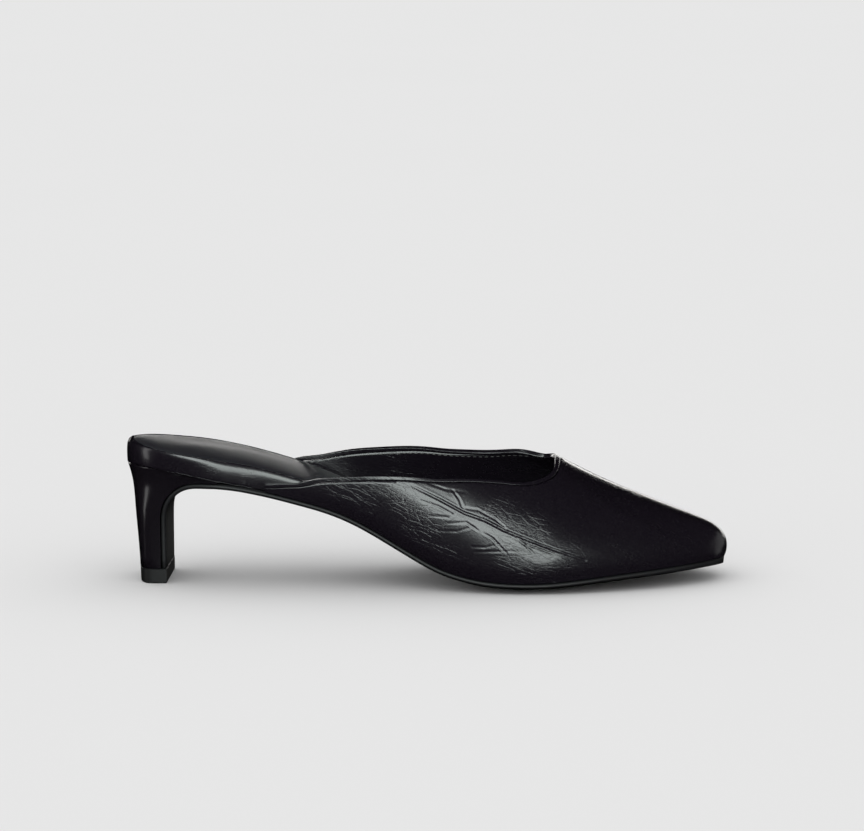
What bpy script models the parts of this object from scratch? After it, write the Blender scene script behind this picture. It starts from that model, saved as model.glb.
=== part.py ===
"""Heeled mule, right shoe, in metres.

The origin is the middle of the top lift's underside, on the floor. +X runs to the toe,
+Y to the wearer's left, which is the inner side of this shoe, and +Z up.
"""

import bmesh
import bpy
import numpy as np

MM = 0.001

# Main sizes
LENGTH = 241.4 * MM
BALL_WIDTH = 76 * MM
HEEL_HEIGHT = 47 * MM
INSTEP = 47 * MM

# Thicknesses
WALL = 1.6 * MM
BINDING_WALL = 2.0 * MM
BINDING = 1.8 * MM
RAND = 1.5 * MM
PAD = 8.0 * MM
SOLE = 2.2 * MM
FLAP = 2.0 * MM
LIFT = 5.9 * MM
EASED = 0.3 * MM
WELT = 0.8 * MM
NOSE = 1.1 * MM
CLEAR = 0.3 * MM
DIP = 1.0 * MM

# Places along the shoe, as shares of the length from the back
TAIL = 0.2386
RAND_END = 0.325
TONGUE_END = 0.160

# Heel and breast
LIFT_HALF = 5.65 * MM
BREAST_RADIUS = 15.4 * MM
COLUMN_CORNER = 6.0 * MM
SEAT_DEPTH = 32.0 * MM
FLARE_START = 9.5 * MM
FLARE_END = 31.0 * MM

# How many stations and rows the lofts have
OUTLINE_STATIONS = 48
UPPER_COLUMNS = 89
UPPER_ROWS = 15
SOLE_STATIONS = 60

# How suddenly the toe rises from the sole, as an angle
BLUNT = 0.02

# Share of a section's run taken by its lower, outward part
TURN = 0.25

BACK = -11.15 / 241.4 * LENGTH

# Outline on the sole: along / LENGTH, outer half / BALL_WIDTH, inner half / BALL_WIDTH
OUTLINE = (
    (0.000, 0.0000, 0.0000),
    (0.010, 0.1211, 0.1211),
    (0.030, 0.2092, 0.2092),
    (0.060, 0.2789, 0.2789),
    (0.100, 0.3263, 0.3263),
    (0.145, 0.3421, 0.3421),
    (0.200, 0.3355, 0.3316),
    (0.280, 0.3184, 0.3053),
    (0.360, 0.3237, 0.2947),
    (0.440, 0.3605, 0.3132),
    (0.520, 0.4158, 0.3605),
    (0.580, 0.4592, 0.4132),
    (0.640, 0.4895, 0.4605),
    (0.700, 0.4908, 0.4895),
    (0.750, 0.4671, 0.4921),
    (0.800, 0.4250, 0.4711),
    (0.860, 0.3566, 0.4197),
    (0.920, 0.2671, 0.3447),
    (0.965, 0.1737, 0.2579),
    (0.990, 0.0987, 0.1776),
    (1.000, 0.0092, 0.0816),
)

# Sole: along / LENGTH, upper face / HEEL_HEIGHT, edge / SOLE, belly below the edge / SOLE
SOLE_LINE = (
    (0.0936, 0.8723, 1.00, 0.25),
    (0.1147, 0.8851, 1.00, 0.25),
    (0.1400, 0.8936, 1.00, 0.25),
    (0.1649, 0.8926, 1.00, 0.25),
    (0.1897, 0.8787, 1.00, 0.25),
    (0.2191, 0.8489, 1.00, 0.25),
    (0.2568, 0.8032, 1.00, 0.27),
    (0.2941, 0.7511, 1.00, 0.30),
    (0.3215, 0.7128, 1.00, 0.32),
    (0.3795, 0.6064, 1.00, 0.38),
    (0.4623, 0.3766, 1.00, 0.50),
    (0.4954, 0.2809, 1.00, 0.58),
    (0.5290, 0.1957, 1.00, 0.70),
    (0.5621, 0.1447, 1.00, 0.82),
    (0.5953, 0.1106, 1.00, 0.94),
    (0.6446, 0.0926, 1.00, 1.00),
    (0.6939, 0.0926, 1.00, 1.00),
    (0.7428, 0.1085, 1.00, 0.98),
    (0.7920, 0.1319, 1.00, 0.92),
    (0.8741, 0.1638, 1.00, 0.80),
    (0.9573, 0.1915, 1.00, 0.55),
    (1.0000, 0.1957, 0.95, 0.30),
)

# Underside of the rand over the heel: along / LENGTH, height / HEEL_HEIGHT
SEAT_LINE = (
    (0.0000, 1.0106),
    (0.0402, 1.0191),
    (0.0812, 0.9979),
    (0.1060, 0.9787),
    (0.1317, 0.9532),
    (0.1649, 0.9149),
    (0.1922, 0.8851),
    (0.2096, 0.8702),
)

# Footbed: along / LENGTH, thickness / PAD, crown of its top / PAD
FOOTBED = (
    (0.000, 1.190, 0.10),
    (0.028, 1.030, 0.12),
    (0.081, 0.930, 0.14),
    (0.132, 0.980, 0.15),
    (0.165, 1.040, 0.15),
    (0.192, 1.070, 0.15),
    (0.230, 1.060, 0.14),
    (0.280, 1.020, 0.12),
    (0.320, 0.970, 0.11),
    (0.366, 0.820, 0.09),
    (0.420, 0.620, 0.07),
    (0.470, 0.500, 0.06),
    (0.530, 0.450, 0.05),
    (0.600, 0.430, 0.05),
    (0.800, 0.430, 0.05),
    (1.000, 0.360, 0.03),
)

# Last: along / LENGTH, swell / BALL_WIDTH, widest line / section height,
# ridge above the sole / INSTEP, lean of the ridge / BALL_WIDTH, fullness
LAST = (
    (0.2000, 0.0066, 0.160, 0.9574, 0.0000, 2.00),
    (0.2400, 0.0092, 0.160, 0.9787, 0.0066, 2.00),
    (0.3000, 0.0158, 0.160, 1.0213, 0.0158, 2.00),
    (0.3800, 0.0329, 0.160, 1.0532, 0.0289, 2.00),
    (0.4600, 0.0447, 0.155, 1.1383, 0.0421, 2.00),
    (0.5290, 0.0447, 0.150, 1.1702, 0.0553, 2.00),
    (0.6000, 0.0368, 0.150, 1.1319, 0.0684, 2.00),
    (0.6446, 0.0289, 0.150, 1.0723, 0.0763, 2.00),
    (0.7192, 0.0211, 0.160, 0.9362, 0.0789, 2.03),
    (0.7543, 0.0184, 0.170, 0.8277, 0.0789, 2.06),
    (0.7912, 0.0171, 0.180, 0.7213, 0.0789, 2.08),
    (0.8331, 0.0158, 0.190, 0.6149, 0.0763, 2.12),
    (0.8749, 0.0158, 0.200, 0.5191, 0.0711, 2.16),
    (0.9085, 0.0145, 0.210, 0.4404, 0.0658, 2.20),
    (0.9400, 0.0132, 0.220, 0.3681, 0.0592, 2.24),
    (0.9615, 0.0118, 0.230, 0.3170, 0.0539, 2.26),
    (0.9772, 0.0105, 0.240, 0.2766, 0.0500, 2.28),
    (0.9888, 0.0079, 0.250, 0.2245, 0.0474, 2.30),
    (0.9959, 0.0053, 0.260, 0.1787, 0.0461, 2.30),
    (1.0000, 0.0026, 0.280, 0.1064, 0.0454, 2.30),
)

# Topline on the sides: along / LENGTH, outer height above the sole / INSTEP, inner / INSTEP
TOPLINE = (
    (0.2386, 0.0681, 0.1021),
    (0.2742, 0.1213, 0.1766),
    (0.3099, 0.2000, 0.2511),
    (0.3521, 0.2936, 0.3574),
    (0.4155, 0.4617, 0.5362),
    (0.5174, 0.7362, 0.8191),
    (0.6276, 0.8329, 0.9362),
    (0.6736, 0.8210, 0.9404),
)

# Throat seen from above: along / LENGTH, across / BALL_WIDTH
THROAT = (
    (0.6976, -0.2560),
    (0.7104, -0.1970),
    (0.7162, -0.1180),
    (0.7175, 0.0066),
    (0.7162, 0.1184),
    (0.7096, 0.2039),
    (0.6955, 0.2632),
)

# Heel block: height / HEEL_HEIGHT, half width / BALL_WIDTH, back / LENGTH, likeness to the seat
HEEL = (
    (0.0000, 0.2079, -0.0246, 0.00),
    (0.1277, 0.2079, -0.0253, 0.00),
    (0.4255, 0.2132, -0.0294, 0.06),
    (0.7021, 0.2355, -0.0340, 0.26),
    (0.8511, 0.2684, -0.0373, 0.60),
    (0.9574, 0.3105, -0.0423, 0.90),
    (1.0213, 0.3355, -0.0458, 1.00),
    (1.1277, 0.3408, -0.0462, 1.00),
)

# Finish: name, base colour, roughness
PATENT = ("patent_leather", (0.012, 0.009, 0.013, 1.0), 0.18)
LINING = ("lining_leather", (0.030, 0.031, 0.036, 1.0), 0.55)
SOLE_FINISH = ("sole_leather", (0.040, 0.038, 0.038, 1.0), 0.50)
HEEL_COVER = ("heel_cover", (0.012, 0.010, 0.012, 1.0), 0.30)
LIFT_RUBBER = ("lift_rubber", (0.020, 0.020, 0.021, 1.0), 0.60)


def spline(knots, values, at):
    """Natural cubic spline through the knots, held level past its ends."""
    knots = np.asarray(knots, float)
    values = np.asarray(values, float)
    at = np.clip(np.asarray(at, float), knots[0], knots[-1])
    gaps = np.diff(knots)
    count = len(knots)
    system = np.eye(count)
    right = np.zeros(count)
    for i in range(1, count - 1):
        system[i, i - 1] = gaps[i - 1]
        system[i, i] = 2 * (gaps[i - 1] + gaps[i])
        system[i, i + 1] = gaps[i]
        slope_after = (values[i + 1] - values[i]) / gaps[i]
        slope_before = (values[i] - values[i - 1]) / gaps[i - 1]
        right[i] = 6 * (slope_after - slope_before)
    bend = np.linalg.solve(system, right)
    k = np.clip(np.searchsorted(knots, at, side="right") - 1, 0, count - 2)
    h = gaps[k]
    a = (knots[k + 1] - at) / h
    b = (at - knots[k]) / h
    curved = ((a**3 - a) * bend[k] + (b**3 - b) * bend[k + 1]) * h**2 / 6
    return a * values[k] + b * values[k + 1] + curved


def to_angle(share):
    """Angle that bunches stations at the back and at the toe."""
    return np.arccos(1 - 2 * np.clip(share, 0.0, 1.0))


def to_share(angle):
    return (1 - np.cos(angle)) / 2


def column(table, index, share):
    """Smooth value of one column of a table at shares of the length."""
    rows = np.array(table)
    return spline(to_angle(rows[:, 0]), rows[:, index], to_angle(share))


def share_of(x):
    return np.clip((np.asarray(x, float) - BACK) / LENGTH, 0.0, 1.0)


def ease(value, start, end):
    """Smooth step from 0 at start to 1 at end."""
    t = np.clip((np.asarray(value, float) - start) / (end - start), 0.0, 1.0)
    return t * t * (3 - 2 * t)


def sole_top(x):
    return HEEL_HEIGHT * column(SOLE_LINE, 1, share_of(x))


def bed_under(x):
    """Underside of the footbed and rand: over the heel, then just above the sole."""
    share = share_of(x)
    over_heel = HEEL_HEIGHT * column(SEAT_LINE, 1, share)
    over_sole = sole_top(x) + CLEAR
    return np.where(share < SEAT_LINE[-1][0], np.maximum(over_heel, over_sole), over_sole)


def bed_top(x):
    return bed_under(x) + PAD * column(FOOTBED, 1, share_of(x))


def outline(angles, inset):
    """Outer and inner side of the outline at the angles, moved in by inset(share)."""
    fine = np.linspace(0.0, np.pi, 721)
    share = to_share(fine)
    x = BACK + LENGTH * share
    outer = np.stack([x, -BALL_WIDTH * column(OUTLINE, 1, share)], axis=1)
    inner = np.stack([x, BALL_WIDTH * column(OUTLINE, 2, share)], axis=1)
    outer[0, 1] = 0.0
    loop = np.concatenate([outer, inner[:0:-1]])
    run = np.roll(loop, -1, axis=0) - np.roll(loop, 1, axis=0)
    run /= np.linalg.norm(run, axis=1)[:, None]
    outward = np.stack([run[:, 1], -run[:, 0]], axis=1)
    depth = np.concatenate([inset(share), inset(share[:0:-1])])
    moved = loop - outward * depth[:, None]
    outer = moved[: len(fine)]
    inner = np.concatenate([moved[:1], moved[len(fine) :][::-1]])
    sides = []
    for side in (outer, inner):
        sides.append(np.stack([np.interp(angles, fine, side[:, i]) for i in (0, 1)], axis=1))
    return sides


def half_width(x, side):
    """Half width of the outline at x: side 1 is the outer one and 2 the inner one."""
    return BALL_WIDTH * column(OUTLINE, side, share_of(x))


def rand_inset(share):
    return (WALL + CLEAR) * ease(share, 0.13, 0.225)


def bed_inset(share):
    behind = rand_inset(share) + RAND + CLEAR
    ahead = WALL + 3 * CLEAR + WALL * ease(share, 0.90, 0.98)
    return behind + (ahead - behind) * ease(share, RAND_END, RAND_END + 0.05)


def last_point(angle, run):
    """Point of the last: run goes from 0 on the outer feather over the ridge to 1."""
    angle, run = np.broadcast_arrays(np.asarray(angle, float), np.asarray(run, float))
    share = to_share(angle)
    x = BACK + LENGTH * share
    base = sole_top(x) - DIP
    swell = BALL_WIDTH * column(LAST, 1, share)
    wide = column(LAST, 2, share)
    height = (INSTEP * column(LAST, 3, share) + DIP) * (1 - np.exp((angle - np.pi) / BLUNT))
    lean = BALL_WIDTH * column(LAST, 4, share)
    power = 2 / column(LAST, 5, share)
    outer = run < 0.5
    sign = np.where(outer, -1.0, 1.0)
    foot = np.where(outer, half_width(x, 1), half_width(x, 2))
    t = 1 - np.abs(2 * run - 1)
    low = np.clip(t / TURN, 0.0, 1.0)
    turn = np.clip((t - TURN) / (1 - TURN), 0.0, 1.0) * np.pi / 2
    reach = foot + swell - sign * lean
    y_low = sign * (foot + swell * np.sin(low * np.pi / 2))
    y_high = lean + sign * reach * np.abs(np.cos(turn)) ** power
    z_low = base + height * wide * low
    z_high = base + height * (wide + (1 - wide) * np.abs(np.sin(turn)) ** power)
    y = np.where(t < TURN, y_low, y_high)
    z = np.where(t < TURN, z_low, z_high)
    nose = NOSE * ease(share, 0.90, 1.0) * ease(z - base, DIP, DIP + 3.5 * MM)
    return np.stack([x + nose, y, z], axis=-1)


def run_at_height(share, height, outer):
    """Run of the last's section where it is so high above the sole."""
    wide = column(LAST, 2, share)
    full = column(LAST, 5, share)
    part = (height + DIP) / (INSTEP * column(LAST, 3, share) + DIP)
    above = np.clip((part - wide) / (1 - wide), 0.0, 1.0)
    turn = np.arcsin(above ** (full / 2))
    t = np.where(part < wide, TURN * part / wide, TURN + (1 - TURN) * turn / (np.pi / 2))
    return t / 2 if outer else 1 - t / 2


def run_at_side(share, y):
    """Run of the last's section where it is so far across."""
    swell = BALL_WIDTH * column(LAST, 1, share)
    lean = BALL_WIDTH * column(LAST, 4, share)
    full = column(LAST, 5, share)
    outer = y < lean
    foot = BALL_WIDTH * column(OUTLINE, 1 if outer else 2, share)
    reach = foot + swell + lean if outer else foot + swell - lean
    turn = np.arccos(np.clip(abs(y - lean) / reach, 0.0, 1.0) ** (full / 2))
    t = TURN + (1 - TURN) * turn / (np.pi / 2)
    return t / 2 if outer else 1 - t / 2


def even(path, count, crowding=0.0):
    """So many points along a path given as angle and run, closer together at the toe."""
    points = last_point(path[:, 0], path[:, 1])
    steps = np.linalg.norm(np.diff(points, axis=0), axis=1) + 1e-9
    from_toe = (BACK + LENGTH - points[1:, 0]) / (0.1 * LENGTH)
    steps *= 1 + crowding * np.exp(-from_toe**2)
    length = np.concatenate([[0.0], np.cumsum(steps)])
    at = np.linspace(0.0, length[-1], count)
    return np.stack([np.interp(at, length, path[:, i]) for i in (0, 1)], axis=1)


def topline(count):
    """Topline from the outer tail round the throat to the inner tail, as angle and run."""
    knots = []
    for share, outer, _ in TOPLINE:
        knots.append((to_angle(share), run_at_height(share, outer * INSTEP, True)))
    for share, across in THROAT:
        knots.append((to_angle(share), run_at_side(share, across * BALL_WIDTH)))
    for share, _, inner in reversed(TOPLINE):
        knots.append((to_angle(share), run_at_height(share, inner * INSTEP, False)))
    knots = np.array(knots, float)
    points = last_point(knots[:, 0], knots[:, 1])
    length = np.concatenate([[0.0], np.cumsum(np.linalg.norm(np.diff(points, axis=0), axis=1))])
    at = np.linspace(0.0, length[-1], 1200)
    path = np.stack([spline(length, knots[:, i], at) for i in (0, 1)], axis=1)
    return even(path, count)


def feather(count):
    """Lower edge of the upper from the outer tail round the toe to the inner tail."""
    start = to_angle(TAIL)
    side = np.linspace(start, np.pi, 600)
    across = np.linspace(0.0, 1.0, 200)
    outer = np.stack([side, np.zeros_like(side)], axis=1)
    toe = np.stack([np.full_like(across, np.pi), across], axis=1)
    inner = np.stack([side[::-1], np.ones_like(side)], axis=1)
    return even(np.concatenate([outer, toe[1:-1], inner]), count, 2.2)


def upper_grid(rows):
    """Grid of the upper's outside: rows(length) gives how far each row is from the topline."""
    top = topline(UPPER_COLUMNS)
    low = feather(UPPER_COLUMNS)
    fine = np.linspace(0.0, 1.0, 161)[:, None]
    grid = []
    for start, end in zip(top, low):
        path = start * (1 - fine) + end * fine
        points = last_point(path[:, 0], path[:, 1])
        steps = np.linalg.norm(np.diff(points, axis=0), axis=1)
        length = np.concatenate([[0.0], np.cumsum(steps)])
        at = rows(length[-1])
        grid.append(np.stack([np.interp(at, length, points[:, i]) for i in range(3)], axis=1))
    return np.array(grid)


def binding_width(length):
    return BINDING * min(1.0, length / (3.4 * BINDING))


def binding_rows(length):
    return np.linspace(0.0, binding_width(length), 3)


def upper_rows(length):
    """Rows of the upper, closer together towards the sole."""
    start = binding_width(length) + CLEAR
    part = np.linspace(1.0, 0.0, UPPER_ROWS)
    return length - (length - start) * part**1.6


def clear_scene():
    for thing in list(bpy.data.objects):
        bpy.data.objects.remove(thing, do_unlink=True)


def new_collection(name):
    made = bpy.data.collections.new(name)
    bpy.context.scene.collection.children.link(made)
    return made


def new_material(finish):
    name, colour, roughness = finish
    made = bpy.data.materials.get(name)
    if made is None:
        made = bpy.data.materials.new(name)
        made.use_nodes = True
        shader = made.node_tree.nodes["Principled BSDF"]
        shader.inputs["Base Color"].default_value = colour
        shader.inputs["Roughness"].default_value = roughness
    return made


def new_object(name, mesh, home, finish=None):
    thing = bpy.data.objects.new(name, mesh)
    home.objects.link(thing)
    if finish is not None:
        mesh.materials.append(new_material(finish))
    return thing


def sheet(name, grid, home, finish):
    """Open surface through a grid of points."""
    columns, rows, _ = grid.shape
    faces = []
    for i in range(columns - 1):
        for j in range(rows - 1):
            a = i * rows + j
            faces.append((a, a + 1, a + rows + 1, a + rows))
    mesh = bpy.data.meshes.new(name)
    mesh.from_pydata([tuple(p) for p in grid.reshape(-1, 3)], [], faces)
    mesh.shade_smooth()
    return new_object(name, mesh, home, finish)


def loft(name, rings, home, finish=None):
    """Closed solid through rings with the same number of points."""
    count = len(rings[0])
    faces = []
    for i in range(len(rings) - 1):
        for j in range(count):
            k = (j + 1) % count
            a = i * count
            faces.append((a + j, a + k, a + count + k, a + count + j))
    faces.append(tuple(range(count))[::-1])
    last = (len(rings) - 1) * count
    faces.append(tuple(range(last, last + count)))
    mesh = bpy.data.meshes.new(name)
    mesh.from_pydata([tuple(p) for ring in rings for p in ring], [], faces)
    work = bmesh.new()
    work.from_mesh(mesh)
    bmesh.ops.recalc_face_normals(work, faces=work.faces)
    work.to_mesh(mesh)
    work.free()
    mesh.shade_smooth()
    return new_object(name, mesh, home, finish)


def solidify(thing, thickness, offset):
    wall = thing.modifiers.new("wall", "SOLIDIFY")
    wall.thickness = thickness
    wall.offset = offset
    wall.use_even_offset = True
    wall.use_rim = True
    return wall


def prism(name, side, tools):
    """Cutter with a side profile, right across the shoe."""
    wide = BALL_WIDTH
    rings = [[(x, -wide, z) for x, z in side], [(x, wide, z) for x, z in side]]
    made = loft(name, rings, tools)
    made.hide_render = True
    made.display_type = "WIRE"
    return made


def cut_with(thing, cutter, operation):
    cut = thing.modifiers.new(cutter.name, "BOOLEAN")
    cut.operation = operation
    cut.solver = "EXACT"
    cut.object = cutter


def build_upper(home, tools):
    """Upper: one wall from the topline to the sole, its lower edge trimmed just above the sole."""
    body = sheet("upper", upper_grid(upper_rows), home, PATENT)
    solidify(body, WALL, -1.0)
    level = []
    for angle in np.linspace(to_angle(TAIL / 2), np.pi, SOLE_STATIONS):
        x = BACK + LENGTH * to_share(angle)
        level.append((x, float(sole_top(x)) + CLEAR))
    level.append((level[-1][0] + 20 * MM, level[-1][1]))
    level.append((level[-1][0], -HEEL_HEIGHT))
    level.append((level[0][0], -HEEL_HEIGHT))
    cut_with(body, prism("sole_level", level, tools), "DIFFERENCE")
    edge = sheet("topline_binding", upper_grid(binding_rows), home, PATENT)
    solidify(edge, BINDING_WALL, -1.0 + 2 * 0.1)


def build_footbed(home):
    """Padded footbed: flat below, its top crowned and rounded at the edge."""
    angles = np.linspace(to_angle(0.0012), np.pi, OUTLINE_STATIONS)
    outer, inner = outline(angles, bed_inset)
    rings = []
    for low, high in zip(outer, inner):
        middle = (low + high) / 2
        half = (high - low) / 2
        width = np.linalg.norm(half)
        edge = min(1.4 * MM, 0.45 * width) / width
        tall = bed_top(middle[0]) - bed_under(middle[0])
        round_off = min(1.4 * MM, 0.4 * tall)
        crown = PAD * float(column(FOOTBED, 2, share_of(middle[0]))) * min(1.0, width / (10 * MM))
        ring = []
        for part, drop in ((-1, None), (-1, 1.0), (-1 + 0.3 * edge, 0.3), (-1 + edge, 0.0)):
            ring.append((part, drop))
        for part in (-0.75, -0.5, -0.25, 0.0, 0.25, 0.5, 0.75):
            ring.append((part, 0.0))
        for part, drop in ((1 - edge, 0.0), (1 - 0.3 * edge, 0.3), (1, 1.0), (1, None)):
            ring.append((part, drop))
        points = []
        for part, drop in ring:
            x, y = middle + half * part
            if drop is None:
                points.append((x, y, float(bed_under(x))))
            else:
                top = float(bed_top(x)) + crown * (1 - part * part)
                points.append((x, y, top - round_off * drop))
        rings.append(points)
    return loft("footbed", rings, home, LINING)


def build_rand(home):
    """Wrapped band round the edge of the footbed, open at the front."""
    angles = np.linspace(to_angle(RAND_END), 0.0, 26)
    out = outline(angles, rand_inset)
    within = outline(angles, lambda share: rand_inset(share) + RAND)
    path_out = np.concatenate([out[0], out[1][-2::-1]])
    path_in = np.concatenate([within[0], within[1][-2::-1]])
    profile = ((0.0, 0.0), (-0.12, 0.35), (-0.08, 0.68), (0.10, 0.88), (0.45, 1.0), (1.0, 1.0), (1.0, 0.0))
    rings = []
    for far, near in zip(path_out, path_in):
        ring = []
        for across, up in profile:
            x, y = far + (near - far) * across
            low = float(bed_under(x))
            high = float(bed_top(x))
            ring.append((x, y, low + (high - low) * up))
        rings.append(ring)
    return loft("rand", rings, home, PATENT)


def heel_half(x, z, side):
    """Half width of the heel block and the sole that covers its breast."""
    rows = np.array(HEEL)
    narrow = BALL_WIDTH * float(spline(rows[:, 0], rows[:, 1], z / HEEL_HEIGHT))
    full = float(half_width(x, side))
    return narrow + (full - narrow) * float(ease(x, FLARE_START, FLARE_END))


def heel_ring(z, front):
    """Outline of the heel at a height, from its outer front corner round the back."""
    rows = np.array(HEEL)
    share = z / HEEL_HEIGHT
    narrow = BALL_WIDTH * float(spline(rows[:, 0], rows[:, 1], share))
    back = LENGTH * float(spline(rows[:, 0], rows[:, 2], share))
    like = float(np.clip(spline(rows[:, 0], rows[:, 3], share), 0.0, 1.0))
    widest = BALL_WIDTH * max(row[1] for row in OUTLINE[:6])
    corner = 2.6 - 0.6 * like
    points = []
    turns = np.linspace(0.0, np.pi / 2, 13)
    side_x = np.linspace(1.0, 0.0, 6)[:-1]
    quarter = []
    for turn in turns:
        across = np.sin(np.pi / 2 - turn) ** (2 / corner)
        depth = np.sin(turn) ** (2 / corner)
        square = (back + COLUMN_CORNER * (1 - depth), narrow * across)
        reach = BACK + SEAT_DEPTH * (1 - np.sin(turn))
        round_half = float(half_width(reach, 1)) * narrow / widest
        seat = (back + (reach - BACK), round_half)
        quarter.append((square, seat))
    for sign in (-1, 1):
        half = []
        for part in side_x:
            start = quarter[0]
            base = start[0][0] * (1 - like) + start[1][0] * like
            x = base + (front - base) * part
            half.append((x, sign * heel_half(x, z, 1 if sign < 0 else 2)))
        for square, seat in quarter:
            x = square[0] * (1 - like) + seat[0] * like
            y = square[1] * (1 - like) + seat[1] * like
            wide = heel_half(x, z, 1 if sign < 0 else 2)
            half.append((x, sign * y * wide / narrow))
        points.append(half if sign < 0 else half[-2::-1])
    ring = points[0] + points[1]
    return [(x, y, z) for x, y in ring]


def sole_path():
    """Upper face of the sole from the lift up the breast and on to the toe, with normals."""
    inside = LIFT_HALF - FLAP
    arc_x = inside + BREAST_RADIUS
    arc_z = float(sole_top(arc_x)) - BREAST_RADIUS
    low = LIFT + CLEAR
    points = [(inside, low + (arc_z - low) * part) for part in (0.0, 0.35, 0.7)]
    for turn in np.linspace(0.0, np.pi / 2, 9):
        points.append((arc_x - BREAST_RADIUS * np.cos(turn), arc_z + BREAST_RADIUS * np.sin(turn)))
    start = to_angle(share_of(arc_x))
    for angle in np.linspace(start, np.pi, SOLE_STATIONS)[1:]:
        x = BACK + LENGTH * to_share(angle)
        points.append((x, float(sole_top(x))))
    points = np.array(points, float)
    fine = np.gradient(points, axis=0)
    fine[0] = (0.0, 1.0)
    fine /= np.linalg.norm(fine, axis=1)[:, None]
    normals = np.stack([fine[:, 1], -fine[:, 0]], axis=1)
    return points, normals, arc_x


def build_sole(home):
    """Sole with its arch, toe spring and the flap that runs down the heel breast."""
    points, normals, arc_x = sole_path()
    rings = []
    for (x, z), (nx, nz) in zip(points, normals):
        share = share_of(x)
        on_shank = float(ease(x, arc_x * 0.6, FLARE_END))
        edge = FLAP * (1 - on_shank) + SOLE * float(column(SOLE_LINE, 2, share)) * on_shank
        belly = 0.1 * SOLE * (1 - on_shank) + SOLE * float(column(SOLE_LINE, 3, share)) * on_shank
        grown = WELT * float(ease(share, 0.42, 0.62) - 1.25 * ease(share, 0.90, 1.0))
        ahead = grown * float(ease(share, 0.90, 1.0))
        widths = []
        for side in (1, 2):
            if x < FLARE_END:
                widths.append(heel_half(x, z, side))
            else:
                widths.append(float(half_width(x, side)) + grown)
        ring = []
        profile = ((1.0, 0.0, 0.0), (1.0, 0.60, 0.0), (0.968, 0.96, 0.0), (0.86, 1.0, 0.45), (0.66, 1.0, 0.85), (0.45, 1.0, 1.0))
        for part, down, sag in profile:
            ring.append((-widths[0] * part, edge * down + belly * sag))
        for part, down, sag in reversed(profile):
            ring.append((widths[1] * part, edge * down + belly * sag))
        row = []
        for y, depth in ring:
            row.append((x + nx * depth + ahead, y, max(z + nz * depth, 0.0)))
        rings.append(row)
    return loft("outsole", rings, home, SOLE_FINISH)


def build_heel(home, tools):
    """Heel block: rings that taper to the lift, cut to the side profile."""
    heights = np.concatenate([[3.0 * MM], np.linspace(LIFT, 30 * MM, 6), np.linspace(33 * MM, 1.12 * HEEL_HEIGHT, 8)])
    front = FLARE_END + 12 * MM
    rings = [heel_ring(z, front) for z in heights]
    block = loft("heel", rings, home, HEEL_COVER)
    inside = LIFT_HALF - FLAP - CLEAR
    arc_x = inside + BREAST_RADIUS + CLEAR
    arc_z = float(sole_top(arc_x)) - BREAST_RADIUS
    radius = BREAST_RADIUS + CLEAR
    low = LIFT + CLEAR
    side = [(-40 * MM, low), (inside, low)]
    for turn in np.linspace(0.0, np.pi / 2, 13):
        side.append((arc_x - radius * np.cos(turn), arc_z + radius * np.sin(turn)))
    end = BACK + LENGTH * TONGUE_END
    for x in np.linspace(arc_x, end, 6)[1:]:
        side.append((x, float(sole_top(x)) + CLEAR))
    for x in np.linspace(end, BACK, 18):
        side.append((x, float(bed_under(x)) - CLEAR))
    side.append((-40 * MM, float(bed_under(BACK)) - CLEAR))
    cut_with(block, prism("heel_profile", side, tools), "INTERSECT")


def build_lift(home):
    """Top lift, its edges eased above and below."""
    rings = []
    for z, shrink in ((0.0, EASED), (EASED, 0.0), (LIFT - EASED, 0.0), (LIFT, EASED)):
        ring = heel_ring(z, LIFT_HALF)
        wide = max(y for _, y, _ in ring)
        rings.append([(x * (1 - shrink / LIFT_HALF), y * (1 - shrink / wide), z) for x, y, _ in ring])
    return loft("top_lift", rings, home, LIFT_RUBBER)


def main():
    clear_scene()
    home = new_collection("heeled_mule")
    tools = new_collection("cutters")
    build_upper(home, tools)
    build_footbed(home)
    build_rand(home)
    build_sole(home)
    build_heel(home, tools)
    build_lift(home)


main()
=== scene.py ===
"""Heeled mule, right shoe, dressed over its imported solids.

Lengths are in metres. +X runs to the toe, +Y to the inner side of the foot, +Z up.
"""

import logging
import math
from dataclasses import dataclass, field
from enum import Enum

import bmesh
import bpy
import numpy as np
from mathutils import Matrix, Vector
from mathutils.bvhtree import BVHTree


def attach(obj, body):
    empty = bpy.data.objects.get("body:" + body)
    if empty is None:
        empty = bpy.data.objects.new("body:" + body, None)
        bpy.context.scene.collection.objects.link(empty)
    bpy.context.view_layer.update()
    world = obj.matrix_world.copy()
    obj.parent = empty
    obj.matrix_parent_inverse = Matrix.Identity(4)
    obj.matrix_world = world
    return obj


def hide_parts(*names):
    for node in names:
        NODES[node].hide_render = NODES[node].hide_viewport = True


LOG = logging.getLogger("mule")
MM = 0.001


@dataclass(frozen=True)
class ShoeSizes:
    """Main sizes of the shoe, as in its solids."""

    length: float = 241.4 * MM
    back: float = -11.15 * MM
    instep: float = 47 * MM

    def along(self, share: float) -> float:
        """X of a share of the length."""
        return self.back + self.length * share


SHOE = ShoeSizes()


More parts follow.
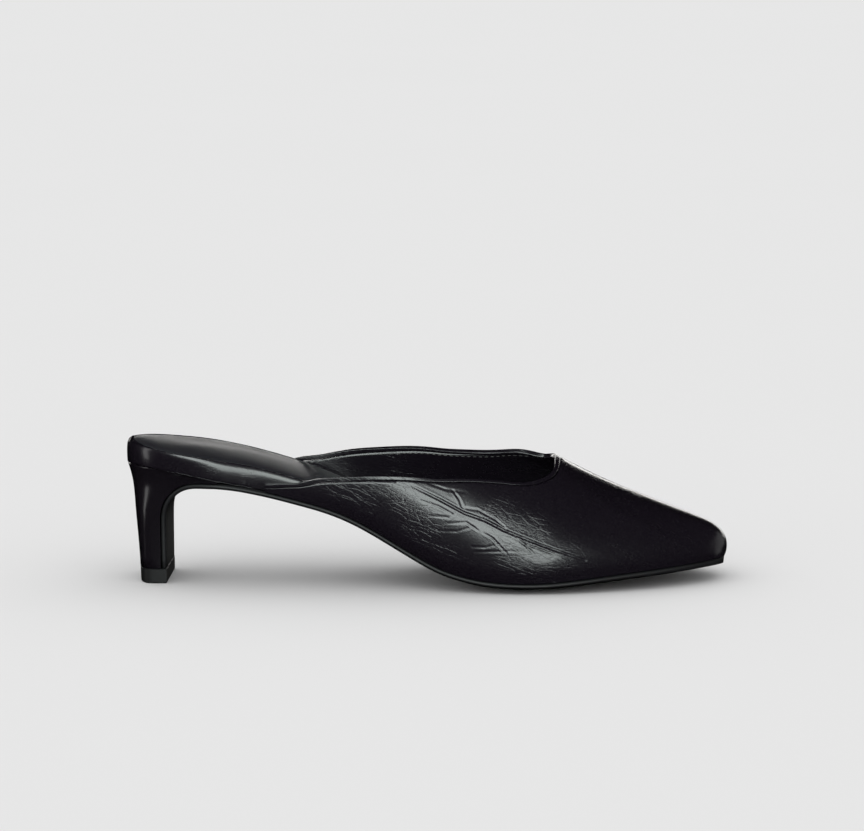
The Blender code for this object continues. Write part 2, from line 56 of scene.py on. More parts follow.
class Socket:
    """A shader socket on which Python's operators add Math nodes."""

    def __init__(self, graph: "Graph", socket: bpy.types.NodeSocket) -> None:
        """Keep the graph and the socket."""
        self.graph = graph
        self.socket = socket

    def math(self, operation: str, first: object, second: object = None, clamp: bool = False) -> "Socket":
        """Add one Math node.

        Args:
            operation: Name of the Math node's operation.
            first: First value or socket.
            second: Second value or socket, if it has one.
            clamp: Whether the result is held between 0 and 1.

        Returns:
            The node's result.
        """
        values = {0: first} if second is None else {0: first, 1: second}
        return self.graph.node("ShaderNodeMath", {"operation": operation, "use_clamp": clamp}, values)

    def __add__(self, other: object) -> "Socket":
        """Sum."""
        return self.math("ADD", self, other)

    def __radd__(self, other: object) -> "Socket":
        """Sum with a number on the left."""
        return self.math("ADD", other, self)

    def __sub__(self, other: object) -> "Socket":
        """Difference."""
        return self.math("SUBTRACT", self, other)

    def __rsub__(self, other: object) -> "Socket":
        """Difference with a number on the left."""
        return self.math("SUBTRACT", other, self)

    def __mul__(self, other: object) -> "Socket":
        """Product."""
        return self.math("MULTIPLY", self, other)

    def __rmul__(self, other: object) -> "Socket":
        """Product with a number on the left."""
        return self.math("MULTIPLY", other, self)

    def between(self, low: float, high: float) -> "Socket":
        """Ramp from 0 at low to 1 at high, held at both ends."""
        return self.math("MULTIPLY", self.math("SUBTRACT", self, low), 1 / (high - low), clamp=True)


class Graph:
    """Node tree of one material."""

    def __init__(self, name: str) -> None:
        """Start a material that holds only its shader and output.

        Args:
            name: Name of the material.
        """
        self.material = bpy.data.materials.new(name)
        self.material.use_nodes = True
        self.tree = self.material.node_tree
        self.shader = self.tree.nodes["Principled BSDF"]

    def node(
        self, kind: str, settings: dict | None = None, values: dict | None = None, out: object = 0
    ) -> Socket:
        """Add a node.

        Args:
            kind: The node's type.
            settings: Its settings, set first.
            values: Values or links of its sockets, by name or index.
            out: Name or index of the output that is returned.

        Returns:
            That output.
        """
        made = self.tree.nodes.new(kind)
        for name, value in (settings or {}).items():
            setattr(made, name, value)
        for key, value in (values or {}).items():
            if isinstance(value, Socket):
                self.tree.links.new(value.socket, made.inputs[key])
            else:
                made.inputs[key].default_value = value
        return Socket(self, made.outputs[out])

    def place(self, scale: tuple, turn: tuple = (0, 0, 0)) -> Socket:
        """Object coordinates, turned and scaled.

        Args:
            scale: Repeats a metre along each axis.
            turn: Rotation in radians.

        Returns:
            The vector.
        """
        where = self.node("ShaderNodeTexCoord", out="Object")
        turned = self.node("ShaderNodeMapping", {}, {"Vector": where, "Rotation": turn})
        return self.node("ShaderNodeMapping", {}, {"Vector": turned, "Scale": scale})

    def noise(
        self, where: Socket, detail: float = 3.0, distortion: float = 0.0, kind: str = "FBM"
    ) -> Socket:
        """Noise texture's value at the vector."""
        values = {"Vector": where, "Scale": 1.0, "Detail": detail, "Distortion": distortion}
        return self.node("ShaderNodeTexNoise", {"noise_type": kind}, values, "Fac")

    def veins(self, where: Socket, width: float) -> Socket:
        """Thin lines between the cells of a Voronoi texture, 1 on the line."""
        values = {"Vector": where, "Scale": 1.0}
        cells = self.node("ShaderNodeTexVoronoi", {"feature": "DISTANCE_TO_EDGE"}, values, "Distance")
        return 1 - cells.between(0.0, width)

    def warped(self, where: Socket, scale: float, amount: float) -> Socket:
        """The vector pushed about by a coarser noise."""
        push = self.node("ShaderNodeTexNoise", {}, {"Vector": where, "Scale": scale, "Detail": 2.0}, "Color")
        off = self.node("ShaderNodeVectorMath", {"operation": "SUBTRACT"}, {0: push, 1: (0.5, 0.5, 0.5)})
        by = self.node("ShaderNodeVectorMath", {"operation": "MULTIPLY"}, {0: off, 1: (amount,) * 3})
        return self.node("ShaderNodeVectorMath", {"operation": "ADD"}, {0: where, 1: by})

    def mix(self, mask: Socket, first: tuple, second: tuple) -> Socket:
        """Colour between two colours by the mask."""
        values = {"Factor": mask, 6: (*first, 1.0), 7: (*second, 1.0)}
        return self.node("ShaderNodeMix", {"data_type": "RGBA"}, values, 2)

    def finish(self, links: dict, numbers: dict, height: Socket | None, depth: float) -> bpy.types.Material:
        """Feed the shader and return the material.

        Args:
            links: Varying values of the shader's sockets.
            numbers: Even values of the shader's sockets.
            height: Height of the surface's relief, if any.
            depth: Depth of the relief in metres.

        Returns:
            The material.
        """
        for name, value in numbers.items():
            self.shader.inputs[name].default_value = value
        for name, value in links.items():
            self.tree.links.new(value.socket, self.shader.inputs[name])
        if height is not None:
            values = {"Height": height, "Strength": 1.0, "Distance": depth}
            bump = self.node("ShaderNodeBump", {}, values, "Normal")
            self.tree.links.new(bump.socket, self.shader.inputs["Normal"])
        return self.material


@dataclass(frozen=True)
class PatentLeather:
    """Crinkled gloss leather: fine pebbles, streaky crinkles and veins under a clear coat."""

    name: str = "patent_leather"
    colour: tuple = (0.0040, 0.0026, 0.0050)
    worn: tuple = (0.0075, 0.0060, 0.0085)
    roughness: float = 0.20
    crinkle: float = 1.0
    slope: float = 21.0

    def material(self) -> bpy.types.Material:
        """Build the material."""
        graph = Graph(self.name)
        turn = (0.0, math.radians(-self.slope), 0.0)
        streak = graph.warped(graph.place((150, 150, 520), turn), 0.5, 1.3)
        fine = graph.warped(graph.place((420, 420, 900), turn), 0.6, 1.0)
        pebbles = graph.noise(graph.place((1500, 1500, 1500)), 2.0)
        folds = graph.noise(streak, 3.0, 0.4, "RIDGED_MULTIFRACTAL")
        veins = graph.veins(streak, 0.10)
        small = graph.veins(fine, 0.16)
        patches = graph.noise(graph.place((45, 45, 45)), 2.0).between(0.40, 0.62)
        height = (0.14 * self.crinkle) * folds * patches - (0.34 * self.crinkle) * veins * patches
        height = height - (0.16 * self.crinkle) * small * patches + 0.13 * pebbles
        rough = self.roughness + 0.10 * pebbles + 0.08 * patches * folds
        colour = graph.mix(pebbles.between(0.35, 0.75), self.colour, self.worn)
        links = {"Base Color": colour, "Roughness": rough}
        numbers = {"Coat Weight": 0.35, "Coat Roughness": 0.10, "IOR": 1.5}
        return graph.finish(links, numbers, height, 0.15 * MM)


@dataclass(frozen=True)
class SoftLeather:
    """Satin or matt leather with a fine grain."""

    name: str
    colour: tuple
    light: tuple
    roughness: float
    grain: float = 1600.0
    depth: float = 0.08 * MM
    speckle: float = 0.12

    def material(self) -> bpy.types.Material:
        """Build the material."""
        graph = Graph(self.name)
        grain = graph.noise(graph.place((self.grain,) * 3), 3.0)
        pores = graph.veins(graph.place((self.grain * 0.7,) * 3), 0.22)
        broad = graph.noise(graph.place((60, 60, 60)), 3.0)
        shade = grain.between(0.35, 0.7) * 0.6 + broad.between(0.3, 0.7) * 0.4
        rough = self.roughness + self.speckle * (grain - 0.5) + 0.08 * (broad - 0.5)
        links = {"Base Color": graph.mix(shade, self.colour, self.light), "Roughness": rough}
        return graph.finish(links, {}, 0.7 * grain - 0.35 * pores, self.depth)


@dataclass(frozen=True)
class SmoothCover:
    """Smooth gloss cover with a faint waviness and fine scratches."""

    name: str
    colour: tuple
    roughness: float
    coat: float = 0.3

    def material(self) -> bpy.types.Material:
        """Build the material."""
        graph = Graph(self.name)
        waves = graph.noise(graph.place((90, 90, 40)), 2.0)
        dust = graph.noise(graph.place((2200, 2200, 2200)), 2.0)
        rough = self.roughness + 0.10 * (dust - 0.5) + 0.06 * (waves - 0.5)
        lighter = tuple(value * 1.5 for value in self.colour)
        links = {"Base Color": graph.mix(dust.between(0.4, 0.8), self.colour, lighter), "Roughness": rough}
        numbers = {"Coat Weight": self.coat, "Coat Roughness": 0.12}
        return graph.finish(links, numbers, waves + 0.06 * dust, 0.10 * MM)


@dataclass(frozen=True)
class FloorPaper:
    """Plain pale floor."""

    colour: tuple = (0.80, 0.80, 0.80)

    def material(self) -> bpy.types.Material:
        """Build the material."""
        graph = Graph("floor_paper")
        graph.shader.inputs["Specular IOR Level"].default_value = 0.0
        tone = graph.noise(graph.place((3, 3, 3)), 2.0)
        darker = tuple(value * 0.99 for value in self.colour)
        links = {"Base Color": graph.mix(tone, darker, self.colour)}
        return graph.finish(links, {"Roughness": 1.0}, None, 0.0)


class Finishes:
    """The shoe's materials, each built once."""

    def __init__(self) -> None:
        """Build every material."""
        self.patent = PatentLeather().material()
        self.rand = PatentLeather("rand_leather", crinkle=0.30, slope=4.0).material()
        self.lining = SoftLeather(
            "lining_leather", (0.006, 0.006, 0.008), (0.012, 0.012, 0.015), 0.55
        ).material()
        self.footbed = SoftLeather(
            "footbed_leather", (0.013, 0.013, 0.016), (0.024, 0.024, 0.028), 0.34
        ).material()
        self.sole = SoftLeather(
            "sole_edge", (0.005, 0.005, 0.006), (0.010, 0.010, 0.011), 0.50
        ).material()
        # Paler sole leather for the underside and the heel breast; on the breast its pale tone is partly
        # painted light for the light that face catches.
        self.tread_and_painted_breast_light = SoftLeather(
            "sole_leather", (0.09, 0.09, 0.095), (0.15, 0.15, 0.155), 0.60
        ).material()
        self.heel = SmoothCover("heel_cover", (0.004, 0.003, 0.0045), 0.24).material()
        self.lift = SmoothCover("lift_rubber", (0.006, 0.006, 0.0065), 0.45, 0.0).material()
        self.thread = SoftLeather(
            "waxed_thread", (0.05, 0.05, 0.05), (0.09, 0.09, 0.085), 0.35, 4000.0, 0.03 * MM
        ).material()


def new_piece(name: str, mesh: bpy.types.Mesh, materials: list) -> bpy.types.Object:
    """Link a finished mesh as a piece that rides on the shoe.

    Args:
        name: The piece's name.
        mesh: Its mesh, in the row frame.
        materials: Its materials, in the order of its faces' indices.

    Returns:
        The piece.
    """
    piece = bpy.data.objects.new(name, mesh)
    bpy.context.scene.collection.objects.link(piece)
    # Clearing the slots also puts every face on the first material.
    mesh.materials.clear()
    for material in materials:
        mesh.materials.append(material)
    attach(piece, "root")
    LOG.info("%s: %d faces", name, len(mesh.polygons))
    return piece


@dataclass
class DressedNode:
    """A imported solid's own form, merged, rounded and given its finish."""

    node: str
    slot: str
    levels: int = 2
    corner: float = 0.9
    sharp: float = 38.0

    def merged(self) -> bmesh.types.BMesh:
        """The node's triangles as a closed mesh, with quads where they fit."""
        work = bmesh.new()
        work.from_mesh(NODES[self.node].data)
        bmesh.ops.remove_doubles(work, verts=work.verts, dist=0.002 * MM)
        bmesh.ops.join_triangles(work, faces=work.faces, angle_face_threshold=0.5, angle_shape_threshold=1.2)
        return work

    def rounded(self, work: bmesh.types.BMesh) -> bpy.types.Mesh:
        """Subdivide smoothly, holding the sharp edges.

        Args:
            work: The merged mesh, which this frees.

        Returns:
            The finished mesh.
        """
        crease = work.edges.layers.float.new("crease_edge")
        for edge in work.edges:
            if len(edge.link_faces) == 2 and edge.calc_face_angle(0.0) > math.radians(self.sharp):
                edge[crease] = self.corner
        mesh = bpy.data.meshes.new(self.node)
        work.to_mesh(mesh)
        work.free()
        if self.levels == 0:
            mesh.shade_smooth()
            mesh.set_sharp_from_angle(angle=math.radians(self.sharp))
            return mesh
        cage = bpy.data.objects.new("cage", mesh)
        bpy.context.scene.collection.objects.link(cage)
        smooth = cage.modifiers.new("rounding", "SUBSURF")
        smooth.levels = self.levels
        smooth.render_levels = self.levels
        graph = bpy.context.evaluated_depsgraph_get()
        done = bpy.data.meshes.new_from_object(cage.evaluated_get(graph))
        bpy.data.objects.remove(cage, do_unlink=True)
        done.shade_smooth()
        return done

    def build(self, materials: list) -> bpy.types.Object:
        """Make the piece that stands for the node.

        Args:
            materials: Its materials.

        Returns:
            The piece.
        """
        mesh = self.shape(self.rounded(self.merged()))
        piece = new_piece(f"{self.node}_dressed", mesh, materials)
        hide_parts(self.node)
        return piece

    def shape(self, mesh: bpy.types.Mesh) -> bpy.types.Mesh:
        """Leave the rounded mesh as it is."""
        return mesh


@dataclass(frozen=True)
class Crease:
    """A fold seen from the outer side: its depth and width, and points as shares of length and instep."""

    depth: float
    width: float
    points: tuple


BRANCH_DEPTH = 0.10 * MM
BRANCH_WIDTH = 0.40 * MM
THROAT_WIDTH = 0.45 * MM
MAIN_CREASES = (
    Crease(0.22 * MM, 0.50 * MM, (
        (0.484, 0.899), (0.529, 0.793), (0.570, 0.687), (0.604, 0.631),
        (0.635, 0.551), (0.693, 0.435), (0.746, 0.333), (0.768, 0.289),
    )),
    Crease(BRANCH_DEPTH, BRANCH_WIDTH, ((0.511, 0.662), (0.544, 0.649), (0.563, 0.712))),
    Crease(BRANCH_DEPTH, BRANCH_WIDTH, ((0.525, 0.537), (0.558, 0.537), (0.585, 0.581))),
    Crease(BRANCH_DEPTH, BRANCH_WIDTH, ((0.582, 0.412), (0.604, 0.410), (0.633, 0.445))),
    Crease(BRANCH_DEPTH, BRANCH_WIDTH, ((0.587, 0.369), (0.616, 0.375), (0.657, 0.383))),
    Crease(BRANCH_DEPTH, BRANCH_WIDTH, ((0.654, 0.495), (0.669, 0.433), (0.686, 0.345))),
    Crease(BRANCH_DEPTH, BRANCH_WIDTH, ((0.561, 0.731), (0.592, 0.712), (0.621, 0.637), (0.640, 0.558))),
    Crease(BRANCH_DEPTH, BRANCH_WIDTH, ((0.496, 0.787), (0.527, 0.737), (0.551, 0.674))),
    Crease(BRANCH_DEPTH, BRANCH_WIDTH, ((0.602, 0.525), (0.616, 0.487), (0.640, 0.358))),
    Crease(BRANCH_DEPTH, BRANCH_WIDTH, ((0.539, 0.599), (0.573, 0.612), (0.592, 0.550))),
    Crease(BRANCH_DEPTH, BRANCH_WIDTH, ((0.664, 0.445), (0.688, 0.408), (0.717, 0.352))),
    Crease(BRANCH_DEPTH, BRANCH_WIDTH, ((0.508, 0.924), (0.539, 0.874), (0.573, 0.849))),
    Crease(BRANCH_DEPTH, BRANCH_WIDTH, ((0.551, 0.862), (0.561, 0.799), (0.568, 0.712))),
)
THROAT_CREASES = (
    Crease(0.34 * MM, THROAT_WIDTH, ((0.720, 0.813), (0.721, 0.739), (0.718, 0.657))),
    Crease(0.22 * MM, THROAT_WIDTH, ((0.701, 0.813), (0.698, 0.726))),
    Crease(0.22 * MM, THROAT_WIDTH, ((0.686, 0.788), (0.680, 0.726))),
    Crease(0.26 * MM, THROAT_WIDTH, ((0.736, 0.826), (0.740, 0.788), (0.745, 0.726))),
    Crease(0.36 * MM, THROAT_WIDTH, ((0.760, 0.813), (0.763, 0.763), (0.767, 0.670))),
    Crease(0.30 * MM, THROAT_WIDTH, ((0.770, 0.726), (0.771, 0.607))),
    Crease(0.26 * MM, THROAT_WIDTH, ((0.755, 0.701), (0.753, 0.630))),
    Crease(0.26 * MM, THROAT_WIDTH, ((0.737, 0.739), (0.735, 0.667))),
    Crease(0.28 * MM, THROAT_WIDTH, ((0.795, 0.710), (0.794, 0.670), (0.790, 0.614))),
    Crease(0.24 * MM, THROAT_WIDTH, ((0.820, 0.657), (0.822, 0.576))),
    Crease(0.20 * MM, THROAT_WIDTH, ((0.778, 0.739), (0.784, 0.705))),
    Crease(0.18 * MM, THROAT_WIDTH, ((0.724, 0.857), (0.726, 0.820))),
)


@dataclass
class Upper(DressedNode):
    """The upper: patent outside, lining inside, with its listed creases."""

    refine: tuple = (0.46, 0.86)
    outer_side: float = 4 * MM
    creases: tuple = field(default_factory=lambda: MAIN_CREASES + THROAT_CREASES)

    def relief(self, x: np.ndarray, z: np.ndarray) -> np.ndarray:
        """Height of the creases' relief at points seen from the side.

        Args:
            x: Places along the shoe.
            z: Heights.

        Returns:
            Displacement outwards.
        """
        total = np.zeros_like(x)
        for crease in self.creases:
            line = np.array([(SHOE.along(a), SHOE.instep * b) for a, b in crease.points])
            steps = np.linalg.norm(np.diff(line, axis=0), axis=1)
            start = np.concatenate([[0.0], np.cumsum(steps)])
            near = np.full_like(x, 1.0)
            place = np.zeros_like(x)
            for i, step in enumerate(steps):
                ax, az = line[i]
                dx, dz = (line[i + 1] - line[i]) / step
                run = np.clip((x - ax) * dx + (z - az) * dz, 0.0, step)
                gap = np.hypot(x - ax - dx * run, z - az - dz * run)
                closer = gap < near
                near = np.where(closer, gap, near)
                place = np.where(closer, (start[i] + run) / start[-1], place)
            fade = np.sin(np.pi * np.clip(0.06 + 0.88 * place, 0.0, 1.0)) ** 0.5
            groove = -np.exp(-((near / crease.width) ** 2))
            lips = 0.30 * np.exp(-(((near - 1.9 * crease.width) / crease.width) ** 2))
            total += crease.depth * fade * (groove + lips)
        return total

    def shape(self, mesh: bpy.types.Mesh) -> bpy.types.Mesh:
        """Refine the creased side, press the creases in and mark the lining's faces."""
        work = bmesh.new()
        work.from_mesh(mesh)
        low, high = (SHOE.along(share) for share in self.refine)
        middle = self.inside_marks(work)
        centres = [(f, f.calc_center_median()) for f in work.faces if f.material_index == 0]
        chosen = [f for f, at in centres if low < at.x < high and at.y < self.outer_side]
        edges = list({edge for face in chosen for edge in face.edges})
        bmesh.ops.subdivide_edges(work, edges=edges, cuts=2, use_grid_fill=True)
        work.normal_update()
        near = [v for v in work.verts if low < v.co.x < high and v.co.y < self.outer_side]
        touched = [v for v in near if all(f.material_index == 0 for f in v.link_faces)]
        for _ in range(4):
            bmesh.ops.smooth_vert(
                work, verts=touched, factor=0.5, use_axis_x=True, use_axis_y=True, use_axis_z=True
            )
        work.normal_update()
        if touched:
            points = np.array([v.co for v in touched])
            moves = self.relief(points[:, 0], points[:, 2])
            for vert, move in zip(touched, moves):
                vert.co += vert.normal * float(move)
        LOG.info("upper: %d lining faces, %d creased points", middle, len(touched))
        work.to_mesh(mesh)
        work.free()
        mesh.shade_smooth()
        return mesh

    def inside_marks(self, work: bmesh.types.BMesh) -> int:
        """Give the faces that look at the hollow the lining's index.

        Args:
            work: The rounded mesh.

        Returns:
            How many faces there are.
        """
        count = 0
        for face in work.faces:
            here = face.calc_center_median()
            target = Vector((min(here.x, 0.198), 0.003, 0.020 + max(0.0, 0.12 - here.x) * 0.28))
            inward = (target - here).normalized()
            face.material_index = 1 if face.normal.dot(inward) > 0.25 else 0
            count += face.material_index
        return count


@dataclass
class Footbed(DressedNode):
    """Padded footbed with a slight mound over the heel and soft sags along it."""

    mound: float = 0.35 * MM

    def shape(self, mesh: bpy.types.Mesh) -> bpy.types.Mesh:
        """Raise the mound and let the padding sag a little beside it."""
        work = bmesh.new()
        work.from_mesh(mesh)
        work.normal_update()
        for vert in work.verts:
            if vert.normal.z < 0.6:
                continue
            x, y = vert.co.x / MM, vert.co.y / MM
            heap = math.exp(-(((x - 16) / 15) ** 2) - ((y + 6) / 10) ** 2)
            sag = math.exp(-(((y - 10) / 6) ** 2)) * math.exp(-(((x - 34) / 30) ** 2))
            vert.co.z += self.mound * (heap - 0.7 * sag)
        work.to_mesh(mesh)
        work.free()
        mesh.shade_smooth()
        return mesh


@dataclass
class Outsole(DressedNode):
    """Sole with a dark finished edge and a paler underside that also covers the heel breast; on the breast
    the paler tone is partly painted light, standing in for the light that face catches.
    """

    def shape(self, mesh: bpy.types.Mesh) -> bpy.types.Mesh:
        """Give the faces of the underside and the heel breast their own paler material, which on the breast
        is painted light.
        """
        for face in mesh.polygons:
            x = face.center.x
            # Faces looking to the toe low on the heel and faces looking down get the paler finish; on the
            # heel breast it is painted light.
            outward = face.normal.x > 0.6 if x < 12 * MM else face.normal.z < -0.45
            face.material_index = 1 if outward else 0
        return mesh


class Lay(Enum):
    """How a strand's section is twisted."""

    TWISTED = 2
    PLAIN = 0


@dataclass
class Strand:
    """A fine cord laid along a path, its section two lobes that turn as it runs."""

    name: str
    radius: float
    pitch: float
    lay: Lay = Lay.TWISTED
    sides: int = 8
    step: float = 0.30 * MM

    def evenly(self, path: list) -> list:
        """Points a step apart along the path."""
        points = np.array(path, float)
        length = np.concatenate([[0.0], np.cumsum(np.linalg.norm(np.diff(points, axis=0), axis=1))])
        at = np.arange(0.0, length[-1], self.step)
        return [Vector([float(np.interp(a, length, points[:, i])) for i in range(3)]) for a in at]

    def build(self, path: list, slot: str, material: bpy.types.Material) -> bpy.types.Object:
        """Sweep the section along the path.

        Args:
            path: Points in the row frame.
            slot: The material slot's name; not used.
            material: Its finish.

        Returns:
            The piece.
        """
        points = self.evenly(path)
        work = bmesh.new()
        rings = []
        for i, here in enumerate(points):
            ahead = (points[min(i + 1, len(points) - 1)] - points[max(i - 1, 0)]).normalized()
            side = ahead.cross(Vector((0, 0, 1))).normalized()
            up = side.cross(ahead)
            ring = bmesh.ops.create_circle(work, segments=self.sides, radius=self.radius)["verts"]
            twist = 2 * math.pi * i * self.step / self.pitch
            for vert in ring:
                angle = math.atan2(vert.co.y, vert.co.x)
                lobe = 1 + 0.28 * math.cos(self.lay.value * (angle - twist)) if self.lay.value else 1.0
                vert.co *= lobe
            turn = Matrix((side, up, ahead)).transposed().to_4x4()
            bmesh.ops.transform(work, matrix=Matrix.Translation(here) @ turn, verts=ring)
            rings.append(ring)
        for before, after in zip(rings, rings[1:]):
            for j in range(self.sides):
                k = (j + 1) % self.sides
                work.faces.new((before[j], before[k], after[k], after[j]))
        work.faces.new(rings[0][::-1])
        work.faces.new(rings[-1])
        bmesh.ops.recalc_face_normals(work, faces=work.faces)
        mesh = bpy.data.meshes.new(self.name)
        work.to_mesh(mesh)
        work.free()
        mesh.shade_smooth()
        return new_piece(self.name, mesh, [material])


@dataclass
class StitchRow:
    """A row of short stitches along a path, joined as one mesh."""

    name: str
    length: float = 1.5 * MM
    gap: float = 0.9 * MM
    radius: float = 0.17 * MM

    def build(self, path: list, slot: str, material: bpy.types.Material) -> bpy.types.Object:
        """Lay a small capsule for each stitch.

        Args:
            path: Points in the row frame.
            slot: The material slot's name; not used.
            material: Its finish.

        Returns:
            The piece.
        """
        points = np.array(path, float)
        run = np.concatenate([[0.0], np.cumsum(np.linalg.norm(np.diff(points, axis=0), axis=1))])
        work = bmesh.new()
        at = 0.0
        while at + self.length < run[-1]:
            ends = [
                Vector([float(np.interp(a, run, points[:, i])) for i in range(3)])
                for a in (at, at + self.length)
            ]
            ahead = ends[1] - ends[0]
            made = bmesh.ops.create_uvsphere(work, u_segments=8, v_segments=6, radius=self.radius)["verts"]
            turn = ahead.to_track_quat("Z", "Y").to_matrix().to_4x4()
            stretch = Matrix.Diagonal((1.0, 1.0, 0.5 * self.length / self.radius, 1.0))
            middle = Matrix.Translation((ends[0] + ends[1]) / 2)
            bmesh.ops.transform(work, matrix=middle @ turn @ stretch, verts=made)
            at += self.length + self.gap
        mesh = bpy.data.meshes.new(self.name)
        work.to_mesh(mesh)
        work.free()
        mesh.shade_smooth()
        return new_piece(self.name, mesh, [material])


class Routes:
    """Paths for strands and stitches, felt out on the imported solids."""

    def __init__(self) -> None:
        """Build a search tree for each solid."""
        self.trees = {}
        for name, thing in NODES.items():
            faces = [tuple(p.vertices) for p in thing.data.polygons]
            self.trees[name] = BVHTree.FromPolygons([v.co.copy() for v in thing.data.vertices], faces)

    def hit(self, node: str, start: Vector, way: Vector) -> Vector | None:
        """Where a line meets a solid, or None."""
        return self.trees[node].ray_cast(start, way)[0]

    def bed_edge(self, inset: float, lift: float, last: float = 0.0655) -> list:
        """Path round the footbed's edge, from the outer front round the heel to the inner front.

        Args:
            inset: How far inside the edge.
            lift: How far above the pad.
            last: X at which it starts and ends.

        Returns:
            Points of the path.
        """
        path = []
        centre = 14 * MM
        starts = [((x, 0.0), (0.0, -1.0)) for x in np.linspace(last, centre, 40)]
        for angle in np.linspace(-math.pi / 2, -3 * math.pi / 2, 41)[1:-1]:
            starts.append(((centre, 0.0), (math.cos(angle), math.sin(angle))))
        starts += [((x, 0.0), (0.0, 1.0)) for x in np.linspace(centre, last, 40)]
        for (x, y), (dx, dy) in starts:
            top = self.hit("footbed", Vector((x, y, 0.1)), Vector((0, 0, -1)))
            level = top.z - 1.9 * MM
            for _ in range(2):
                edge = self.hit("rand", Vector((x, y, level)), Vector((dx, dy, 0)))
                if edge is None:
                    break
                inner = edge - Vector((dx, dy, 0)) * (0.3 * MM + inset)
                top = self.hit("footbed", Vector((inner.x, inner.y, 0.1)), Vector((0, 0, -1)))
                if top is not None:
                    level = top.z - 0.6 * MM
            if edge is not None and top is not None:
                path.append(Vector((inner.x, inner.y, top.z + lift)))
        return path

    def rand_foot(self, first: float, last: float, side: float) -> list:
        """Path along the rand's lower outer edge on one side."""
        path = []
        for x in np.linspace(first, last, 40):
            for z in np.arange(30 * MM, 56 * MM, 0.25 * MM):
                found = self.hit("rand", Vector((x, side * 0.06, z)), Vector((0, -side, 0)))
                if found is not None:
                    path.append(Vector((found.x, found.y + side * 0.05 * MM, found.z - 0.1 * MM)))
                    break
        return path

    def topline_inside(self, side: float, drop: float) -> list:
        """Path on the lining a little below the topline on one side."""
        rim = np.array([v.co for v in NODES["topline_binding"].data.vertices])
        path = []
        for x in np.linspace(52 * MM, 152 * MM, 60):
            near = rim[(abs(rim[:, 0] - x) < 3 * MM) & (rim[:, 1] * side > 8 * MM)]
            if not len(near):
                continue
            level = near[:, 2].max() - drop
            found = self.hit("upper", Vector((x, 0.0, level)), Vector((0, side, 0)))
            if found is not None:
                path.append(found - Vector((0, side * 0.05 * MM, 0)))
        return path


@dataclass(frozen=True)
class Softbox:
    """A rectangular studio light: where it stands as seen from the shoe, its size, turn and brightness."""

    name: str
    azimuth: float
    elevation: float
    distance: float
    size: tuple
    roll: float
    brightness: float
    colour: tuple = (1.0, 1.0, 1.0)
    target: tuple = (0.135, -0.02, 0.03)


SOFTBOXES = (
    Softbox("key_softbox", -7, 28, 1.5, (2.2, 0.55), -47, 6.6, (0.92, 1.0, 0.975)),
    Softbox("back_strip", 180, 4, 2.4, (3.2, 0.22), 0, 3.4, (1.0, 0.985, 0.96)),
    Softbox("left_strip", -84, 14, 1.6, (0.30, 1.3), 0, 1.8),
    Softbox("right_fill", 120, 12, 2.0, (0.9, 0.9), 0, 0.35),
)


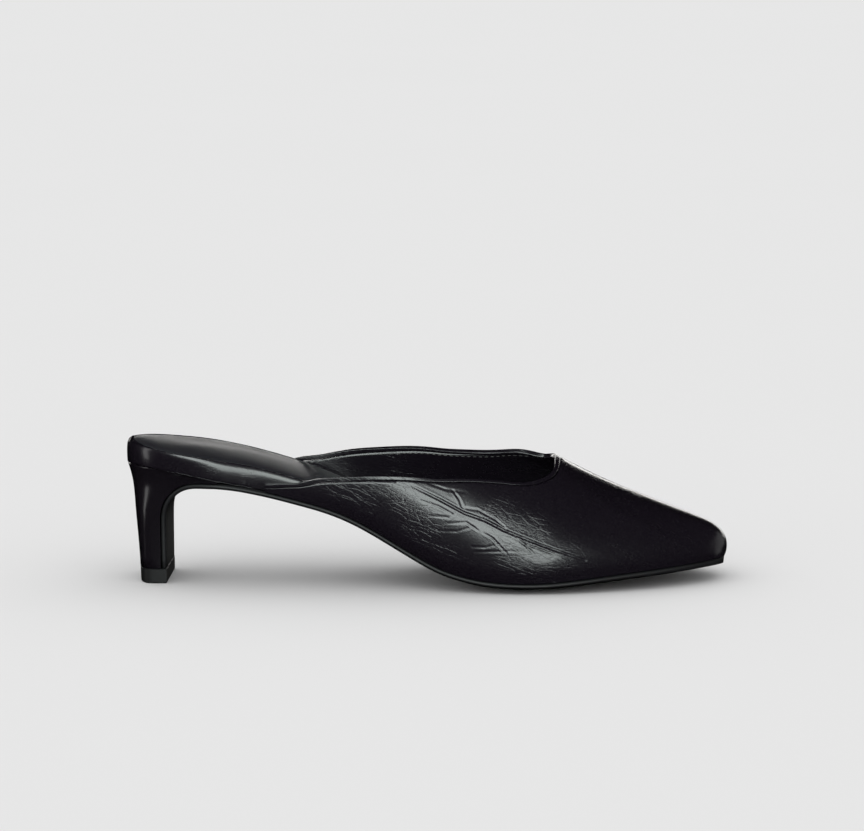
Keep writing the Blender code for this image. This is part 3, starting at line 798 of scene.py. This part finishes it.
@dataclass
class Studio:
    """Floor, lights and camera."""

    distance: float = 1.7
    yaw: float = 2.6
    pitch: float = 8.8
    roll: float = -0.35
    focal: float = 4220 * 36 / 864
    aim: tuple = (0.11225, 0.0, 0.0661)
    daylight: float = 1.0

    def camera(self) -> None:
        """Place the camera at the photograph's angle."""
        yaw, pitch, roll = (math.radians(a) for a in (self.yaw, self.pitch, self.roll))
        back = Vector((math.sin(yaw) * math.cos(pitch), -math.cos(yaw) * math.cos(pitch), math.sin(pitch)))
        right = Vector((math.cos(yaw), math.sin(yaw), 0))
        up = back.cross(right)
        across = right * math.cos(roll) + up * math.sin(roll)
        above = up * math.cos(roll) - right * math.sin(roll)
        data = bpy.data.cameras.new("camera")
        data.lens = self.focal
        data.sensor_width = 36
        data.sensor_fit = "HORIZONTAL"
        data.clip_end = 50
        camera = bpy.data.objects.new("camera", data)
        bpy.context.scene.collection.objects.link(camera)
        turn = Matrix((across, above, back)).transposed().to_4x4()
        camera.matrix_world = Matrix.Translation(Vector(self.aim) + back * self.distance) @ turn
        bpy.context.scene.camera = camera

    def floor(self) -> None:
        """Lay the plain floor."""
        work = bmesh.new()
        bmesh.ops.create_grid(work, x_segments=8, y_segments=8, size=9.0)
        mesh = bpy.data.meshes.new("floor")
        work.to_mesh(mesh)
        work.free()
        mesh.materials.append(FloorPaper().material())
        floor = bpy.data.objects.new("floor", mesh)
        bpy.context.scene.collection.objects.link(floor)
        floor.visible_glossy = False

    def light(self, box: Softbox, lit: bpy.types.Collection) -> None:
        """Set up one softbox that lights the shoe.

        Args:
            box: The softbox.
            lit: The collection of what it lights.
        """
        azimuth, elevation = math.radians(box.azimuth), math.radians(box.elevation)
        level = math.cos(elevation)
        way = Vector((math.sin(azimuth) * level, -math.cos(azimuth) * level, math.sin(elevation)))
        data = bpy.data.lights.new(box.name, "AREA")
        data.shape = "RECTANGLE"
        data.size, data.size_y = box.size
        data.energy = box.brightness * math.pi * box.size[0] * box.size[1]
        data.color = box.colour
        lamp = bpy.data.objects.new(box.name, data)
        bpy.context.scene.collection.objects.link(lamp)
        face = way.to_track_quat("Z", "Y").to_matrix().to_4x4()
        turn = Matrix.Rotation(math.radians(box.roll), 4, "Z")
        lamp.matrix_world = Matrix.Translation(Vector(box.target) + way * box.distance) @ face @ turn
        lamp.visible_camera = False
        lamp.light_linking.receiver_collection = lit

    def build(self, pieces: list) -> None:
        """Set up the studio round the pieces.

        Args:
            pieces: The pieces that the softboxes light.
        """
        lit = bpy.data.collections.new("lit_by_softboxes")
        for piece in pieces:
            lit.objects.link(piece)
        self.camera()
        self.floor()
        for box in SOFTBOXES:
            self.light(box, lit)
        world = bpy.data.worlds.new("studio")
        world.use_nodes = True
        world.node_tree.nodes["Background"].inputs["Color"].default_value = (1.0, 1.0, 1.0, 1.0)
        world.node_tree.nodes["Background"].inputs["Strength"].default_value = self.daylight
        world.cycles_visibility.glossy = False
        scene = bpy.context.scene
        scene.world = world
        scene.view_settings.view_transform = "Standard"
        scene.view_settings.look = "None"


def main() -> None:
    """Build and dress the shoe, then the studio."""
    finishes = Finishes()
    routes = Routes()
    patent = "patent_leather"
    upper = Upper("upper", patent, 2).build([finishes.patent, finishes.lining])
    binding = DressedNode("topline_binding", patent, 2, 0.55).build([finishes.patent])
    footbed = Footbed("footbed", "lining_leather", 2).build([finishes.footbed])
    rand = DressedNode("rand", patent, 2, 0.7).build([finishes.rand])
    sole = Outsole("outsole", "sole_leather", 1, 0.75).build([finishes.sole, finishes.tread_and_painted_breast_light])
    heel = DressedNode("heel", "heel_cover", 0).build([finishes.heel])
    lift = DressedNode("top_lift", "lift_rubber", 0).build([finishes.lift])
    edge = routes.bed_edge(0.25 * MM, 0.05 * MM)
    piping = Strand("footbed_piping", 0.50 * MM, 1.9 * MM).build(edge, patent, finishes.heel)
    pieces = [upper, binding, footbed, rand, sole, heel, lift, piping]
    for side, word in ((-1.0, "outer"), (1.0, "inner")):
        foot = routes.rand_foot(2 * MM, 42 * MM, side)
        pieces.append(Strand(f"rand_bead_{word}", 0.16 * MM, 0.9 * MM).build(foot, patent, finishes.heel))
        row = routes.topline_inside(side, 3.0 * MM)
        pieces.append(StitchRow(f"lining_stitches_{word}").build(row, "lining_leather", finishes.thread))
    Studio().build(pieces)


logging.basicConfig(level=logging.INFO, format="%(name)s %(message)s")
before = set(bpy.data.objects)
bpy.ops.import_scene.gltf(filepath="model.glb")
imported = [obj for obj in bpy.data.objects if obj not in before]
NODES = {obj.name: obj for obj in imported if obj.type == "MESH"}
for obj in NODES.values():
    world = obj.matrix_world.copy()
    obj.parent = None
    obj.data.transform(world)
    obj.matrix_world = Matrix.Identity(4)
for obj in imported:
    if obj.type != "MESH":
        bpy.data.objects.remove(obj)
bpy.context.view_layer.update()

if __name__ == "__main__":
    main()
